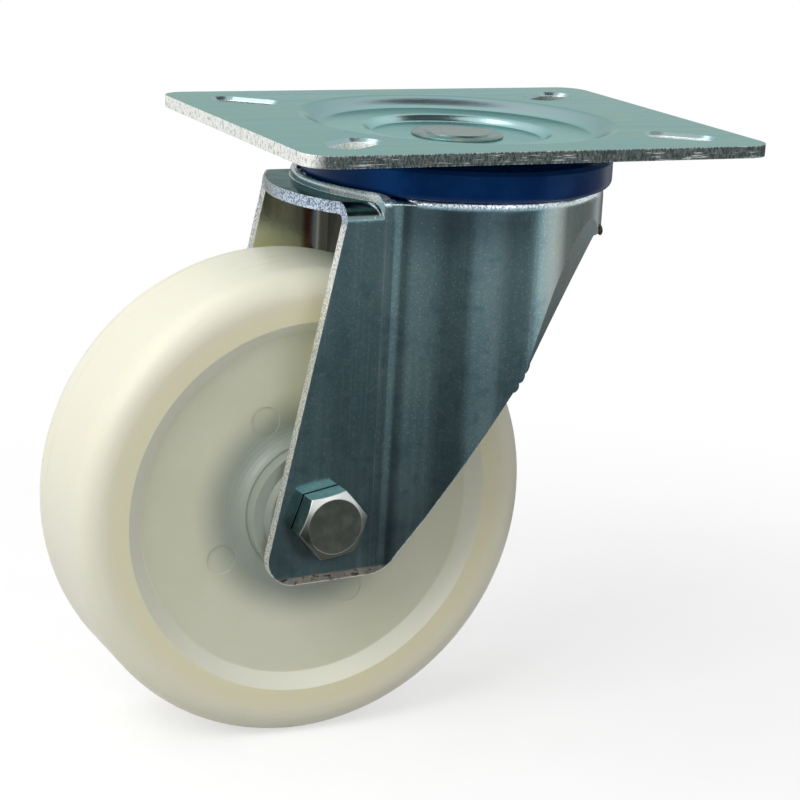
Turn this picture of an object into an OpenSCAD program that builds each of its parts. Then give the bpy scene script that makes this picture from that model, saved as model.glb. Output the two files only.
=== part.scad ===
// Swivel castor with a slotted top plate: pressed steel plate and fork, two ball rows in the
// swivel head, and a one-piece nylon wheel on a roller bearing.
// Millimetres. The origin is on the swivel axis at the plate's top face, +Z is up,
// X runs along the plate with the wheel trailing towards -X, and Y is along the axle.

/* [Overall] */
// Gap between the wheel's tread and the fork's crown
crown_gap = 19.7; // [16:0.1:30]
// Trail of the wheel axle behind the swivel axis
trail = 58.5; // [52:0.5:66]

/* [Top plate] */
// Length of the plate
plate_l = 165; // [150:1:190]
// Width of the plate
plate_w = 135; // [125:1:160]
// Thickness of the plate's sheet
plate_t = 4; // [3:0.25:5]
// Corner radius of the plate
plate_corner_r = 9; // [4:0.5:14]
// Distance between slot centres along the plate
slot_pitch_x = 118; // [112:1:124]
// Distance between slot centres across the plate
slot_pitch_y = 91; // [86:1:96]
// Width of each slot, for an M10 bolt
slot_w = 11; // [9:0.25:12]
// Length of each slot from end to end
slot_l = 23; // [16:0.5:26]
// Width of the slant round the upper end of each slot
slot_lip = 1.2; // [0.5:0.1:1.5]
// Radius where the round recess starts in the flat of the plate
recess_rim_r = 54.5; // [52:0.5:57]
// Radius at the foot of the recess's outer step
recess_foot_r = 45; // [44:0.5:48]
// Depth of the recess's outer step
recess_depth = 3.5; // [2.5:0.25:5]
// Radius where the inner dish starts
dish_rim_r = 32.5; // [31:0.5:33]
// Radius at the foot of the inner dish
dish_foot_r = 28.5; // [26:0.5:30]
// Depth of the inner dish below the recess
dish_depth = 2.2; // [1.5:0.1:3]

/* [Swivel head] */
// Outer radius of the round head of the fork
head_r = 50.4; // [49:0.1:52]
// Diameter of the upper row's balls
upper_ball_d = 9.5; // [8:0.25:10]
// Pitch radius of the upper row's balls
upper_ball_r = 38; // [37.5:0.25:38.5]
// Number of balls in the upper row
upper_ball_n = 24; // [20:1:24]
// Diameter of the lower row's balls
lower_ball_d = 8; // [7:0.25:8.5]
// Pitch radius of the lower row's balls
lower_ball_r = 33; // [32:0.25:34]
// Number of balls in the lower row
lower_ball_n = 24; // [20:1:24]
// Depth of the ball grooves
groove_depth = 0.8; // [0.5:0.1:1]
// Gap left between a ball and its grooves
ball_clear = 0.3; // [0.2:0.05:0.4]
// Radius of the hole in the fork's head
head_hole_r = 26; // [25:0.25:27]
// Thickness of the lower race's sheet
race_t = 3; // [2:0.25:3.5]
// Gap between the lower race's neck and the hole in the fork's head
neck_gap = 1; // [0.5:0.1:1.5]
// Diameter of the kingpin's shank
kingpin_d = 16; // [12:0.5:20]
// Radius of the kingpin's peened upper head
kingpin_head_r = 15.5; // [12:0.5:18]
// Height of the peened upper head above the dish
kingpin_head_h = 1.2; // [1:0.1:2]
// Radius of the kingpin's lower head
kingpin_foot_r = 14; // [12:0.5:17]
// Height of the kingpin's lower head
kingpin_foot_h = 7; // [5:0.5:9]
// Width by which the dust seal stands out round the fork's head
seal_over = 2.5; // [2:0.1:3.5]
// Height of the dust seal's rim above the fork's head
seal_rise = 6.5; // [5:0.25:7]
// Height of the dust seal's skirt below the fork's head
seal_drop = 3.6; // [3:0.1:4]
// Height of the seal's round lower edge
seal_edge = 2.5; // [1.5:0.1:3]
// Width of the seal's inner lip, which keeps dirt off the balls
seal_lip = 1.8; // [1.2:0.1:2.2]

/* [Fork] */
// Thickness of the fork's sheet
fork_t = 4; // [3:0.25:4.5]
// Gap between each end of the wheel's hub and the leg beside it
hub_gap = 2; // [1.5:0.1:3]
// Height of the round head above the crown
head_rise = 5.3; // [4.5:0.1:6.5]
// Outer radius of the head's shoulder
shoulder_r = 7; // [6:0.1:8]
// Height of the raised collar that stands on the crown round the seal
collar_h = 3; // [2:0.1:3.5]
// Width of the round bead along the collar's top
bead_w = 2.4; // [1.8:0.1:2.8]
// Outer radius of the bend between crown and leg
bend_r = 6; // [5:0.25:8]
// Radius of the hollow crease between leg and head
crease_r = 12; // [9:0.5:14]
// Distance from the swivel axis back to the crown's rear edge
crown_reach = 65; // [63:0.5:68]
// Radius of the crown's rear edge
crown_r = 52; // [48:0.5:58]
// Distance from the axle back to the legs' lower rear corner
leg_rear = 21.5; // [18:0.5:25]
// Depth of the legs below the axle, at the rear
leg_below = 22.4; // [18:0.1:24]
// Rise of the legs' lower edge towards the front
leg_rise = 1.8; // [0:0.1:4]
// Radius of the legs' lower rear corner
leg_corner_r = 9; // [6:0.5:13]
// Distance from the axle forward to the legs' lower front corner
leg_front = 22; // [18:0.5:25]
// Radius of the legs' lower front corner
leg_front_r = 9; // [4:0.5:12]
// Height of the head's front wall
apron_h = 18.6; // [16:0.1:24]
// Distance from the swivel axis to the upper end of the slanted front edge
front_cut_x = 35.2; // [28:0.1:38]
// Bow of the slanted front edge
front_bow = 3.4; // [0:0.2:5]
// Direction of the trimmed flat on each side of the head's front edge, from the front
trim_turn = 51.8; // [48:0.2:56]
// Downward tilt of the trimmed flats
trim_tilt = 9.65; // [8:0.05:11]
// Distance of the trimmed flats from the middle of the plate's top face
trim_off = 54.4; // [53.6:0.1:55.6]
// Number of nibbled lobes on the near leg's slanted edge
nibble_n = 3; // [1:1:6]
// Spacing of the nibbled lobes
nibble_pitch = 3.8; // [3:0.1:5]
// Height of the nibbled lobes
nibble_h = 0.9; // [0.3:0.1:1.2]

/* [Wheel] */
// Diameter of the wheel
wheel_d = 160; // [150:1:165]
// Width of the tread
wheel_w = 50; // [44:1:54]
// Corner radius of the tread
tread_corner_r = 9; // [5:0.5:11]
// Depth of the wheel's side recess
web_recess = 4; // [2:0.5:7]
// Outer radius of the side recess at the rim face
web_rim_r = 63.5; // [58:0.5:66]
// Width of the recess's slanted outer wall
web_slant = 5; // [2:0.5:7]
// Length of the wheel's hub
hub_l = 60; // [57:0.5:61]
// Outer radius of the hub
hub_r = 23; // [22:0.5:27]
// Radius of the hollow at the foot of the hub
hub_foot_r = 7; // [2:0.5:8]
// Pitch radius of the round ejector marks
ejector_pitch_r = 34; // [33:0.5:48]
// Radius of each ejector mark
ejector_r = 5; // [3:0.5:5.5]
// Depth of each ejector mark
ejector_depth = 0.3; // [0.2:0.1:0.5]

/* [Axle and bearing] */
// Diameter of the axle bolt
bolt_d = 14; // [12:0.5:14.5]
// Width across flats of the bolt's head and nut
hex_af = 21; // [19:0.5:22]
// Height of the bolt's head
bolt_head_h = 8.5; // [6:0.25:10]
// Turn of the bolt's head about its axis
bolt_turn = 49; // [0:1:60]
// Height of the round bearing face under the bolt's head
washer_face_h = 0.6; // [0.3:0.1:0.8]
// Thickness of the washer under the nut
washer_t = 2.5; // [1.5:0.25:3]
// Outer diameter of the washer under the nut
washer_d = 28; // [24:0.5:30]
// Height of the lock nut, with its collar
nut_h = 14; // [11:0.5:15]
// Height of the lock nut's round collar
nut_collar_h = 3; // [2.5:0.25:4]
// Length of bolt that stands out of the nut
bolt_stand = 2.5; // [1:0.5:5]
// Outer diameter of the axle sleeve
sleeve_d = 20; // [18:0.5:21]
// Diameter of the bearing's rollers
roller_d = 5; // [4:0.25:5.5]
// Length of the bearing's rollers
roller_l = 36; // [30:0.5:40]
// Number of rollers
roller_n = 10; // [6:1:11]
// Thickness of the roller cage's wall
cage_t = 3; // [2:0.25:3.2]
// Depth of the bearing covers in the hub
cover_depth = 5; // [4:0.25:7]
// Outer radius of the bearing covers
cover_r = 19; // [18:0.25:20]
// Radial running clearance in the roller bearing
bearing_clear = 0.05; // [0.03:0.01:0.08]
// Radial clearance of bolts in their holes
bolt_clear = 0.25; // [0.1:0.05:0.4]
// Gap between parts that move past each other
running_gap = 0.3; // [0.2:0.05:0.5]

/* [Hidden] */
$fn = 96;
step_n = 12;
arc_n = 8;
past = 1;

zinc = [0.60, 0.69, 0.69];
zinc_dark = [0.42, 0.52, 0.55];
seal_blue = [0.09, 0.22, 0.50];
ivory = [0.90, 0.88, 0.80];
bearing_steel = [0.72, 0.73, 0.74];
cage_black = [0.16, 0.16, 0.17];
cover_white = [0.84, 0.84, 0.80];

// Heights of the swivel head's faces, from the plate downwards
recess_z = -recess_depth;
dish_z = recess_z - dish_depth;
roof_z = recess_z - plate_t;
dish_under_z = dish_z - plate_t;
upper_groove_r = upper_ball_d / 2 + ball_clear;
upper_ball_z = roof_z + groove_depth - upper_groove_r;
head_z = upper_ball_z - upper_groove_r + groove_depth;
head_under_z = head_z - fork_t;
lower_groove_r = lower_ball_d / 2 + ball_clear;
lower_ball_z = head_under_z + groove_depth - lower_groove_r;
race_z = lower_ball_z - lower_groove_r + groove_depth;
race_low_z = race_z - race_t;
crown_z = head_z - head_rise;
neck_r = head_hole_r - neck_gap;

// Fork
leg_gap = hub_l + 2 * hub_gap;
leg_out = leg_gap / 2 + fork_t;
fold_z = crown_z - bend_r;
axle_z = crown_z - fork_t - crown_gap - wheel_d / 2;
apron_z = head_z - apron_h;
leg_low_z = axle_z - leg_below;
crown_x = crown_r - crown_reach;
leg_top_x = crown_x - sqrt(pow(crown_r, 2) - pow(leg_out - bend_r, 2));
crease_y = leg_out + crease_r;
crease_x = -sqrt(pow(head_r + crease_r, 2) - crease_y * crease_y);
fork_reach = trail + 2 * leg_below;
front_low = [-trail + leg_front, leg_low_z + leg_rise];
front_top = [front_cut_x, apron_z];
nibble_r = 2.4;
nibble_share = 0.565;
// The crease bites this far into its two walls, so that it meets them at an angle
crease_bite = 0.05;
// The crease's wall ends just under the seal, with this rounding
web_z = head_z - seal_drop - 2 * running_gap;
web_r = 2;
// Room between the seal and the shoulder that it sits on
seal_clear = 0.05;
seal_r = head_r + seal_over;
// Centre of the round shoulder in the head's profile
shoulder_c = [head_r - shoulder_r, head_z - shoulder_r];

// Wheel and bearing
hub_bore_r = sleeve_d / 2 + roller_d + 2 * bearing_clear;
roller_pitch_r = sleeve_d / 2 + bearing_clear + roller_d / 2;
cover_out = leg_gap / 2 - running_gap;
bolt_hole_r = bolt_d / 2 + bolt_clear;
cage_l = hub_l - 2 * cover_depth - 2 * running_gap;
nut_y = leg_out + washer_t;

// A flowing step of the plate's sheet, as points from one radius in to another
function step_line(r_out, r_in, z_out, drop) = [
  for (i = [0 : step_n])
    [r_out + (r_in - r_out) * i / step_n, z_out - drop * (1 - cos(180 * i / step_n)) / 2]
];

function reversed(list) = [for (i = [len(list) - 1 : -1 : 0]) list[i]];
function lowered(list, by) = [for (p = list) [p[0], p[1] - by]];
function unit(v) = v / norm(v);

// The corner b of an outline a, b, c, rounded to radius r
function rounded_corner(a, b, c, r) =
  let (
    u = unit(a - b),
    w = unit(c - b),
    half = acos(u * w) / 2,
    middle = b + unit(u + w) * r / sin(half),
    from = b + u * r / tan(half) - middle,
    to = b + w * r / tan(half) - middle,
    from_angle = atan2(from[1], from[0]),
    turn = atan2(from[0] * to[1] - from[1] * to[0], from * to)
  )
  [
    for (i = [0 : arc_n])
      let (angle = from_angle + turn * i / arc_n)
      middle + r * [cos(angle), sin(angle)]
  ];

// The left-hand side of the way from a to b
function side_of(a, b) = let (along = unit(b - a)) [-along[1], along[0]];

// A point at the share t of the slanted front edge, which bows back
function front_edge(t) =
  front_low + (front_top - front_low) * t + side_of(front_low, front_top) * front_bow * 4 * t * (1 - t);

// A quarter of an ellipse, from its outer side down to its lowest point
function round_edge(r, z, width, tall) = [
  for (i = [0 : arc_n])
    let (angle = 90 * i / arc_n)
    [r - width * (1 - cos(angle)), z + tall * (1 - sin(angle))]
];

// A turned ring about the swivel axis
module turned() {
  rotate_extrude() children();
}

// A turned body about the wheel's axle: the outline's second coordinate runs along +Y
module turned_on_axle() {
  translate([-trail, 0, axle_z]) rotate([-90, 0, 0]) rotate_extrude() children();
}

// A pin or bore along the axle, from one y to another
module on_axle(r, y_from, y_to) {
  translate([-trail, y_from, axle_z]) rotate([-90, 0, 0]) cylinder(r = r, h = y_to - y_from);
}

// A hexagon along the axle with a corner pointing up, from one y to another
module hex_on_axle(af, y_from, y_to, turn = 0) {
  translate([-trail, y_from, axle_z]) rotate([-90, 0, 0]) rotate([0, 0, turn])
    cylinder(d = af / cos(30), h = y_to - y_from, $fn = 6);
}

// A ball groove round the swivel axis
module groove(pitch_r, z, r) {
  turned() translate([pitch_r, z]) circle(r = r);
}

// A ring of balls round the swivel axis
module ball_row(count, pitch_r, z, d) {
  for (i = [0 : count - 1])
    rotate([0, 0, (i + 0.5) * 360 / count]) translate([pitch_r, 0, z]) sphere(d = d);
}

// A slab with round corners
module rounded_slab(l, w, t, r) {
  translate([-l / 2 + r, -w / 2, -t]) cube([l - 2 * r, w, t]);
  translate([-l / 2, -w / 2 + r, -t]) cube([l, w - 2 * r, t]);
  for (sx = [-1, 1], sy = [-1, 1])
    translate([sx * (l / 2 - r), sy * (w / 2 - r), -t]) cylinder(r = r, h = t);
}

// One slot through the plate with a slant round its upper end, centred and running along X
module slot() {
  run = slot_l - slot_w;
  half = slot_w / 2;
  wide = half + slot_lip + past;
  translate([-run / 2, 0, 0]) rotate([90, 0, 90]) linear_extrude(height = run) polygon([
    [-half, -plate_t - past],
    [half, -plate_t - past],
    [half, -slot_lip],
    [wide, past],
    [-wide, past],
    [-half, -slot_lip]
  ]);
  for (s = [-1, 1]) translate([s * run / 2, 0, 0]) {
    translate([0, 0, -plate_t - past]) cylinder(r = half, h = plate_t + 2 * past);
    translate([0, 0, -slot_lip]) cylinder(r1 = half, r2 = wide, h = slot_lip + past);
  }
}

module top_plate() {
  recess = concat(
    step_line(recess_rim_r, recess_foot_r, 0, recess_depth),
    step_line(dish_rim_r, dish_foot_r, recess_z, dish_depth),
    [[kingpin_d / 2, dish_z]]
  );
  color(zinc) difference() {
    union() {
      difference() {
        rounded_slab(plate_l, plate_w, plate_t, plate_corner_r);
        translate([0, 0, -plate_t - past]) cylinder(r = recess_rim_r, h = plate_t + 2 * past);
        for (sx = [-1, 1], sy = [-1, 1])
          translate([sx * slot_pitch_x / 2, sy * slot_pitch_y / 2, 0])
            rotate([0, 0, sx * sy * atan2(slot_pitch_y, slot_pitch_x)]) slot();
      }
      turned() polygon(concat(recess, reversed(lowered(recess, plate_t))));
    }
    groove(upper_ball_r, upper_ball_z, upper_groove_r);
  }
}

module kingpin() {
  shank_r = kingpin_d / 2;
  foot_z = dish_under_z - race_t;
  edge = kingpin_head_h * 0.6;
  color(zinc_dark) turned() polygon([
    [0, dish_z + kingpin_head_h],
    [kingpin_head_r * 0.68, dish_z + kingpin_head_h],
    [kingpin_head_r * 0.72, dish_z + edge],
    [kingpin_head_r * 0.92, dish_z + kingpin_head_h * 0.8],
    [kingpin_head_r, dish_z + kingpin_head_h * 0.4],
    [kingpin_head_r, dish_z],
    [shank_r, dish_z],
    [shank_r, foot_z],
    [kingpin_foot_r, foot_z],
    [kingpin_foot_r, foot_z - kingpin_foot_h * 0.6],
    [kingpin_foot_r * 0.7, foot_z - kingpin_foot_h],
    [0, foot_z - kingpin_foot_h]
  ]);
}

module lower_race() {
  wall_r = neck_r - race_t;
  lip_r = lower_ball_r + lower_groove_r + ball_clear;
  lip_z = lower_ball_z;
  color(zinc_dark) difference() {
    turned() polygon([
      [kingpin_d / 2, dish_under_z],
      [neck_r - race_t / 2, dish_under_z],
      [neck_r, dish_under_z - race_t / 2],
      [neck_r, race_z],
      [lip_r, race_z],
      [lip_r, lip_z],
      [lip_r + race_t * 0.7, lip_z],
      [lip_r + race_t * 0.7, race_low_z + race_t / 2],
      [lip_r + race_t * 0.2, race_low_z],
      [wall_r + race_t / 2, race_low_z],
      [wall_r, race_low_z + race_t / 2],
      [wall_r, dish_under_z - race_t],
      [kingpin_d / 2, dish_under_z - race_t]
    ]);
    groove(lower_ball_r, lower_ball_z, lower_groove_r);
  }
}

module upper_balls() {
  color(bearing_steel) ball_row(upper_ball_n, upper_ball_r, upper_ball_z, upper_ball_d);
}

module lower_balls() {
  color(bearing_steel) ball_row(lower_ball_n, lower_ball_r, lower_ball_z, lower_ball_d);
}

// A section with round upper corners, from low up to top
module round_top(half_w, low, top, r) {
  translate([-half_w, low]) square([2 * half_w, top - r - low]);
  translate([-half_w + r, low]) square([2 * (half_w - r), top - low]);
  for (s = [-1, 1]) translate([s * (half_w - r), top - r]) circle(r = r);
}

// The hollow crease between a leg and the round head, rounded off under the seal
module crease_web(inset, low) {
  top = web_z - inset;
  on_head = [crease_x, -crease_y] * (head_r - inset) / (head_r + crease_r);
  difference() {
    translate([0, 0, low]) linear_extrude(height = top - low)
      polygon([[crease_x, bend_r - leg_out], [crease_x, inset - leg_out], on_head, on_head * 0.8]);
    translate([crease_x, -crease_y, 0]) rotate_extrude() {
      translate([0, low - past]) square([crease_r + inset + crease_bite, top - low + 2 * past]);
      difference() {
        translate([0, web_z - web_r]) square([crease_r + web_r, web_r + past]);
        translate([crease_r + web_r, web_z - web_r]) circle(r = web_r);
      }
    }
  }
}

// The fork as a full body, drawn in by inset: the outside of the sheet, or its inside
module fork_body(inset) {
  low = leg_low_z - past - inset;
  rotate([90, 0, 90]) translate([0, 0, -fork_reach]) linear_extrude(height = fork_reach)
    round_top(leg_out - inset, low, crown_z - inset, bend_r - inset);
  turned() intersection() {
    round_top(head_r - inset, low, head_z - inset, shoulder_r - inset);
    translate([0, low]) square([head_r, -low]);
  }
  for (side = [0, 1]) mirror([0, side, 0]) crease_web(inset, low);
}

// A ring that stands on the crown and runs out over its bends with a radius of r
module crown_ring(top, r) {
  intersection() {
    turned() children();
    rotate([90, 0, 90]) translate([0, 0, -crown_reach]) linear_extrude(height = crown_reach)
      round_top(leg_out - crease_bite, fold_z - past, top, r);
  }
}

// The collar round the seal: a bead with a hollow foot, curled down at the legs
module collar() {
  in_r = seal_r + running_gap;
  bead_r = bead_w / 2;
  foot_h = collar_h - bead_r;
  foot_r = in_r + bead_w * 0.6 + foot_h;
  foot_z = crown_z + foot_h;
  top = crown_z + collar_h;
  low = fold_z - past;
  crown_ring(foot_z, bend_r + foot_h) difference() {
    translate([in_r, low]) square([foot_r - in_r, foot_z - low]);
    translate([foot_r, foot_z]) circle(r = foot_h + crease_bite);
  }
  crown_ring(top, bend_r * 0.75) {
    translate([in_r, low]) square([bead_w, top - bead_r - low]);
    translate([in_r + bead_r, top - bead_r]) circle(r = bead_r);
  }
}

// What is kept of the pressed body, seen from above: crown and head
module fork_top() {
  span = 2 * (head_r + past);
  translate([crown_x, 0, fold_z]) cylinder(r = crown_r, h = -fold_z);
  translate([leg_top_x, -span / 2, fold_z]) cube([span / 2 - leg_top_x, span, -fold_z]);
}

// What is kept of the pressed body, seen from the side: legs and front wall
module fork_side() {
  rear_top = [leg_top_x, fold_z];
  rear_low = [-trail - leg_rear, leg_low_z];
  edge = [for (i = [1 : arc_n - 1]) front_edge(i / arc_n)];
  front = head_r + past;
  rotate([90, 0, 0]) linear_extrude(height = 2 * (head_r + past), center = true) polygon(concat(
    [rear_top],
    rounded_corner(rear_top, rear_low, front_low, leg_corner_r),
    rounded_corner(rear_low, front_low, edge[0], leg_front_r),
    edge,
    [front_top, [front, apron_z], [front, fold_z]]
  ));
}

// The flat trimmed off one side of the head's front edge
module front_trim() {
  reach = 2 * head_r;
  rotate([0, 0, -trim_turn]) rotate([0, trim_tilt, 0]) translate([trim_off, -reach / 2, -reach])
    cube([head_r, reach, 2 * reach]);
}

// The nibbled lobes along the near leg's slanted front edge
module nibbles() {
  in = side_of(front_low, front_top) * (nibble_r - nibble_h);
  for (i = [0 : nibble_n - 1]) {
    spot = front_edge(nibble_share + i * nibble_pitch / norm(front_top - front_low)) + in;
    translate([spot[0], 0, spot[1]]) rotate([90, 0, 0]) cylinder(r = nibble_r, h = head_r + past);
  }
}

module fork() {
  color(zinc_dark) difference() {
    intersection() {
      difference() {
        union() {
          fork_body(0);
          collar();
        }
        fork_body(fork_t);
      }
      union() {
        fork_top();
        fork_side();
        nibbles();
      }
    }
    translate([0, 0, head_under_z - past]) cylinder(r = head_hole_r, h = fork_t + 2 * past);
    groove(upper_ball_r, upper_ball_z, upper_groove_r);
    groove(lower_ball_r, lower_ball_z, lower_groove_r);
    on_axle(bolt_hole_r, -leg_out - past, leg_out + past);
    for (side = [0, 1]) mirror([0, side, 0]) front_trim();
  }
}

module dust_seal() {
  lip_in = upper_ball_r + upper_groove_r + ball_clear;
  lip_top = roof_z - 2 * ball_clear;
  top_z = head_z + seal_rise;
  low_z = head_z - seal_drop;
  fit_r = shoulder_r + seal_clear;
  low_angle = asin((low_z - shoulder_c[1]) / fit_r);
  lip_angle = acos((lip_in - shoulder_c[0]) / fit_r);
  edge_w = (seal_r - shoulder_c[0] - fit_r * cos(low_angle)) * 0.8;
  color(seal_blue) turned() polygon(concat(
    [
      [lip_in, lip_top],
      [lip_in + seal_lip * 0.7, lip_top],
      [lip_in + seal_lip * 2, top_z],
      [seal_r - seal_edge / 2, top_z],
      [seal_r, top_z - seal_edge / 2]
    ],
    round_edge(seal_r, low_z, edge_w, seal_edge),
    [
      for (i = [0 : arc_n])
        let (angle = low_angle + (lip_angle - low_angle) * i / arc_n)
        shoulder_c + fit_r * [cos(angle), sin(angle)]
    ]
  ));
}

module axle_bolt() {
  head_y = -leg_out;
  end_y = nut_y + nut_h + bolt_stand;
  corner_r = hex_af / 2 / cos(30);
  chamfer = corner_r - hex_af / 2 * 0.89;
  color(bearing_steel) {
    intersection() {
      hex_on_axle(hex_af, head_y - bolt_head_h, head_y - washer_face_h, bolt_turn);
      turned_on_axle() polygon([
        [0, head_y],
        [corner_r + past, head_y],
        [corner_r + past, head_y - bolt_head_h + (chamfer + past) * tan(30)],
        [corner_r - chamfer, head_y - bolt_head_h],
        [0, head_y - bolt_head_h]
      ]);
    }
    on_axle(hex_af / 2 * 0.94, head_y - washer_face_h - past, head_y);
    on_axle(bolt_d / 2, head_y - past, end_y - bolt_d / 12);
    turned_on_axle() polygon([
      [0, end_y - bolt_d / 12 - past],
      [bolt_d / 2, end_y - bolt_d / 12 - past],
      [bolt_d / 2, end_y - bolt_d / 12],
      [bolt_d / 2 - bolt_d / 12, end_y],
      [0, end_y]
    ]);
  }
}

module axle_sleeve() {
  color(bearing_steel) difference() {
    on_axle(sleeve_d / 2, -leg_gap / 2, leg_gap / 2);
    on_axle(bolt_hole_r, -leg_gap / 2 - past, leg_gap / 2 + past);
  }
}

module nut_washer() {
  color(bearing_steel) difference() {
    on_axle(washer_d / 2, leg_out, nut_y);
    on_axle(bolt_hole_r, leg_out - past, nut_y + past);
  }
}

// The hollow in the lock nut's collar that holds the insert
insert_r = (bolt_d + hex_af) / 4;
insert_lip = 0.4;
insert_y = nut_y + nut_h - nut_collar_h;
insert_end_y = nut_y + nut_h - insert_lip;

module lock_nut() {
  collar_r = hex_af / 2 * 0.94;
  thread_r = bolt_d / 2 + bearing_clear;
  corner_r = hex_af / 2 / cos(30);
  chamfer = corner_r - hex_af / 2 * 0.95;
  color(bearing_steel) difference() {
    union() {
      intersection() {
        hex_on_axle(hex_af, nut_y, insert_y);
        turned_on_axle() polygon([
          [0, nut_y],
          [corner_r - chamfer, nut_y],
          [corner_r + past, nut_y + (chamfer + past) * tan(30)],
          [corner_r + past, insert_y - (chamfer + past) * tan(30)],
          [corner_r - chamfer, insert_y],
          [0, insert_y]
        ]);
      }
      turned_on_axle() polygon([
        [0, insert_y - past],
        [collar_r, insert_y - past],
        [collar_r, insert_y + nut_collar_h * 0.6],
        [collar_r - nut_collar_h * 0.4, insert_y + nut_collar_h],
        [0, insert_y + nut_collar_h]
      ]);
    }
    on_axle(thread_r, nut_y - past, insert_y + past);
    on_axle(insert_r, insert_y, insert_end_y);
    on_axle(insert_r - insert_lip, insert_end_y - past, insert_end_y + insert_lip + past);
  }
}

module lock_nut_insert() {
  color(seal_blue) difference() {
    on_axle(insert_r, insert_y, insert_end_y);
    on_axle(bolt_d / 2 + bearing_clear, insert_y - past, insert_end_y + past);
  }
}

// One side's recess between the hub and the rim
module wheel_recess() {
  half = wheel_w / 2;
  floor_y = half - web_recess;
  polygon(concat(
    [[hub_r, hub_l / 2 + past]],
    rounded_corner([hub_r, half], [hub_r, floor_y], [web_rim_r, floor_y], hub_foot_r),
    [
      [web_rim_r - web_slant, floor_y],
      [web_rim_r, half],
      [web_rim_r, hub_l / 2 + past]
    ]
  ));
}

module wheel() {
  half = wheel_w / 2;
  floor_y = half - web_recess;
  color(ivory) difference() {
    turned_on_axle() difference() {
      union() {
        translate([0, -hub_l / 2]) square([hub_r, hub_l]);
        translate([0, -half]) square([wheel_d / 2 - tread_corner_r, wheel_w]);
        translate([0, -half + tread_corner_r]) square([wheel_d / 2, wheel_w - 2 * tread_corner_r]);
        for (s = [-1, 1])
          translate([wheel_d / 2 - tread_corner_r, s * (half - tread_corner_r)]) circle(r = tread_corner_r);
      }
      wheel_recess();
      mirror([0, 1]) wheel_recess();
      translate([0, -hub_l]) square([hub_bore_r, 2 * hub_l]);
      for (s = [0, 1]) mirror([0, s])
        translate([0, hub_l / 2 - cover_depth]) square([cover_r, cover_depth + past]);
    }
    for (s = [-1, 1], i = [0 : 3])
      translate([-trail, 0, axle_z]) rotate([0, -28 - i * 90, 0]) translate([0, 0, ejector_pitch_r])
        rotate([-90, 0, 0]) translate([0, 0, s > 0 ? floor_y - ejector_depth : -floor_y - past])
          cylinder(r = ejector_r, h = ejector_depth + past);
  }
}

// A bearing cover in the hub's end, on the +Y side
module bearing_cover() {
  flange_y = hub_l / 2;
  color(cover_white) turned_on_axle() polygon([
    [sleeve_d / 2 + running_gap, flange_y - cover_depth],
    [cover_r, flange_y - cover_depth],
    [cover_r, flange_y],
    [cover_r - (cover_out - flange_y), cover_out],
    [sleeve_d / 2 + running_gap, cover_out]
  ]);
}

module far_bearing_cover() {
  bearing_cover();
}

module near_bearing_cover() {
  mirror([0, 1, 0]) bearing_cover();
}

module roller_cage() {
  pocket_w = roller_d + 2 * running_gap;
  pocket_l = roller_l + 2 * running_gap;
  color(cage_black) difference() {
    on_axle(roller_pitch_r + cage_t / 2, -cage_l / 2, cage_l / 2);
    on_axle(roller_pitch_r - cage_t / 2, -cage_l / 2 - past, cage_l / 2 + past);
    for (i = [0 : roller_n - 1])
      translate([-trail, -pocket_l / 2, axle_z]) rotate([0, i * 360 / roller_n, 0])
        translate([-pocket_w / 2, 0, roller_pitch_r - cage_t]) cube([pocket_w, pocket_l, 2 * cage_t]);
  }
}

module rollers() {
  color(bearing_steel)
    for (i = [0 : roller_n - 1])
      translate([-trail, -roller_l / 2, axle_z]) rotate([0, i * 360 / roller_n, 0])
        translate([0, 0, roller_pitch_r]) rotate([-90, 0, 0]) cylinder(d = roller_d, h = roller_l);
}

top_plate();
kingpin();
lower_race();
upper_balls();
lower_balls();
fork();
dust_seal();
axle_bolt();
axle_sleeve();
nut_washer();
lock_nut();
lock_nut_insert();
wheel();
near_bearing_cover();
far_bearing_cover();
roller_cage();
rollers();
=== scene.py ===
# %% [markdown]
# # A swivel castor with a slotted plate
# This lesson dresses a finished set of solids: a pressed steel plate and fork, a blue dust seal
# and an ivory nylon wheel. The solids already have their true shape and size, so most of the
# work here is light, camera and finishes. We start by loading the solids and noting their box.

# %% Load the solids
import math

import bmesh
import bpy
from mathutils import Matrix, Vector


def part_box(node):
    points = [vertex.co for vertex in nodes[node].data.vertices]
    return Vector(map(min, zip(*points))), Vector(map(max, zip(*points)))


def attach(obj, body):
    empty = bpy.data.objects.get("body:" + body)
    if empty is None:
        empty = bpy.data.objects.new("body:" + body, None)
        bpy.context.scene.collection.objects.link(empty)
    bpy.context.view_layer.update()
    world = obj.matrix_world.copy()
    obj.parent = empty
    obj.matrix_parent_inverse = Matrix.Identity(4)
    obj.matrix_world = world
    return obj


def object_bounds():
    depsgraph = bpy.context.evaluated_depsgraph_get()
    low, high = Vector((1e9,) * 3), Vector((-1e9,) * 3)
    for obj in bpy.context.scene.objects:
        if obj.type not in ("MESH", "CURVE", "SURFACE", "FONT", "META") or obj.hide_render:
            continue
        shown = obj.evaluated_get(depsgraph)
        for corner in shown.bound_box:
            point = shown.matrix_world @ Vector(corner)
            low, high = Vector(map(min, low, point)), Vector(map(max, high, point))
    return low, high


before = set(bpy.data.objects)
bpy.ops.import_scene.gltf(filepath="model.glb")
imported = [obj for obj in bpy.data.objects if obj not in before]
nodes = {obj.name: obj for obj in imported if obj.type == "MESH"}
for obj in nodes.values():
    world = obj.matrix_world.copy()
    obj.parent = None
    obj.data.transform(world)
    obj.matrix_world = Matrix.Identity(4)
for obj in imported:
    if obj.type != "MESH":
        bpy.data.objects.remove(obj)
solid_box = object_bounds()

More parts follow.
